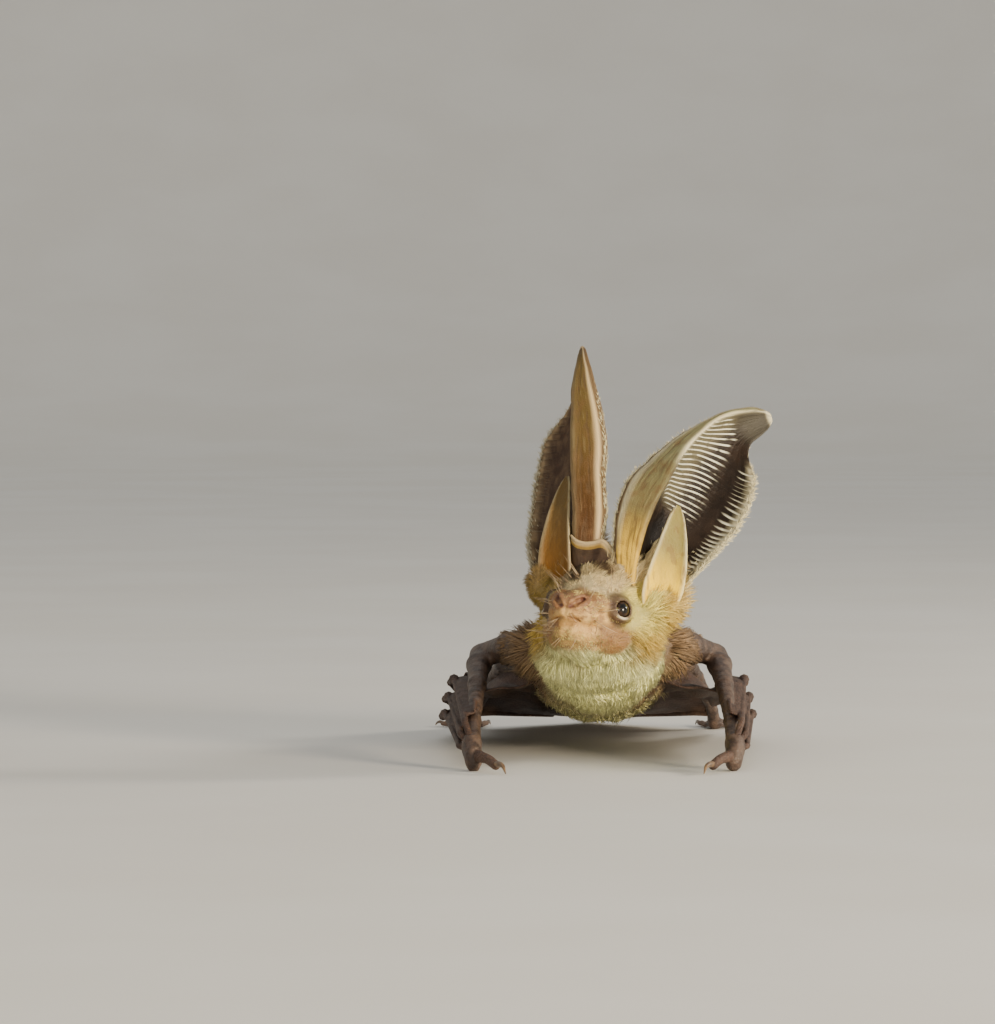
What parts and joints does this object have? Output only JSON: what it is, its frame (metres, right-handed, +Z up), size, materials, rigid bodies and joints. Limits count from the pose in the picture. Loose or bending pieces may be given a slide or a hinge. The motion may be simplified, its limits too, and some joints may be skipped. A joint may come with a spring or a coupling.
{
  "type": "brown long-eared bat",
  "caption": "Life-size still model of a small bat crouched on its wrists and feet, wings folded, head raised and turned, with very long ears up.",
  "frame": {"origin": "on the floor under the middle of the bat's bounding box", "axes": "+Z up, the bat faces -Y, its left side is +X"},
  "size_m": [0.0442, 0.094, 0.0536],
  "materials": {
    "fur": "soft grey-brown fur, yellowish on the cheeks",
    "pale_fur": "pale buff fur",
    "ear_skin": "thin translucent olive-brown skin with cross ribs",
    "tragus_skin": "thin pale yellowish skin",
    "wing_skin": "dark grey-brown bare skin",
    "eye": "wet, near black",
    "claw": "horn brown"
  },
  "bodies": {
    "root": {"head": "fur", "neck": "pale_fur", "trunk": "fur", "tail": "wing_skin", "eye_left": "eye", "ear_left": "ear_skin", "tragus_left": "tragus_skin", "upper_arm_left": "fur", "forearm_left": "wing_skin", "wrist_left": "wing_skin", "thumb_left": "wing_skin", "thumb_claw_left": "claw", "finger_3_left": "wing_skin", "finger_4_left": "wing_skin", "finger_5_left": "wing_skin", "hand_membrane_left": "wing_skin", "thigh_left": "fur", "shank_left": "wing_skin", "foot_left": "wing_skin", "calcar_left": "wing_skin", "side_membrane_left": "wing_skin", "tail_membrane_left": "wing_skin", "eye_right": "eye", "ear_right": "ear_skin", "tragus_right": "tragus_skin", "upper_arm_right": "fur", "forearm_right": "wing_skin", "wrist_right": "wing_skin", "thumb_right": "wing_skin", "thumb_claw_right": "claw", "finger_3_right": "wing_skin", "finger_4_right": "wing_skin", "finger_5_right": "wing_skin", "hand_membrane_right": "wing_skin", "thigh_right": "fur", "shank_right": "wing_skin", "foot_right": "wing_skin", "calcar_right": "wing_skin", "side_membrane_right": "wing_skin", "tail_membrane_right": "wing_skin"}
  },
  "joints": []
}
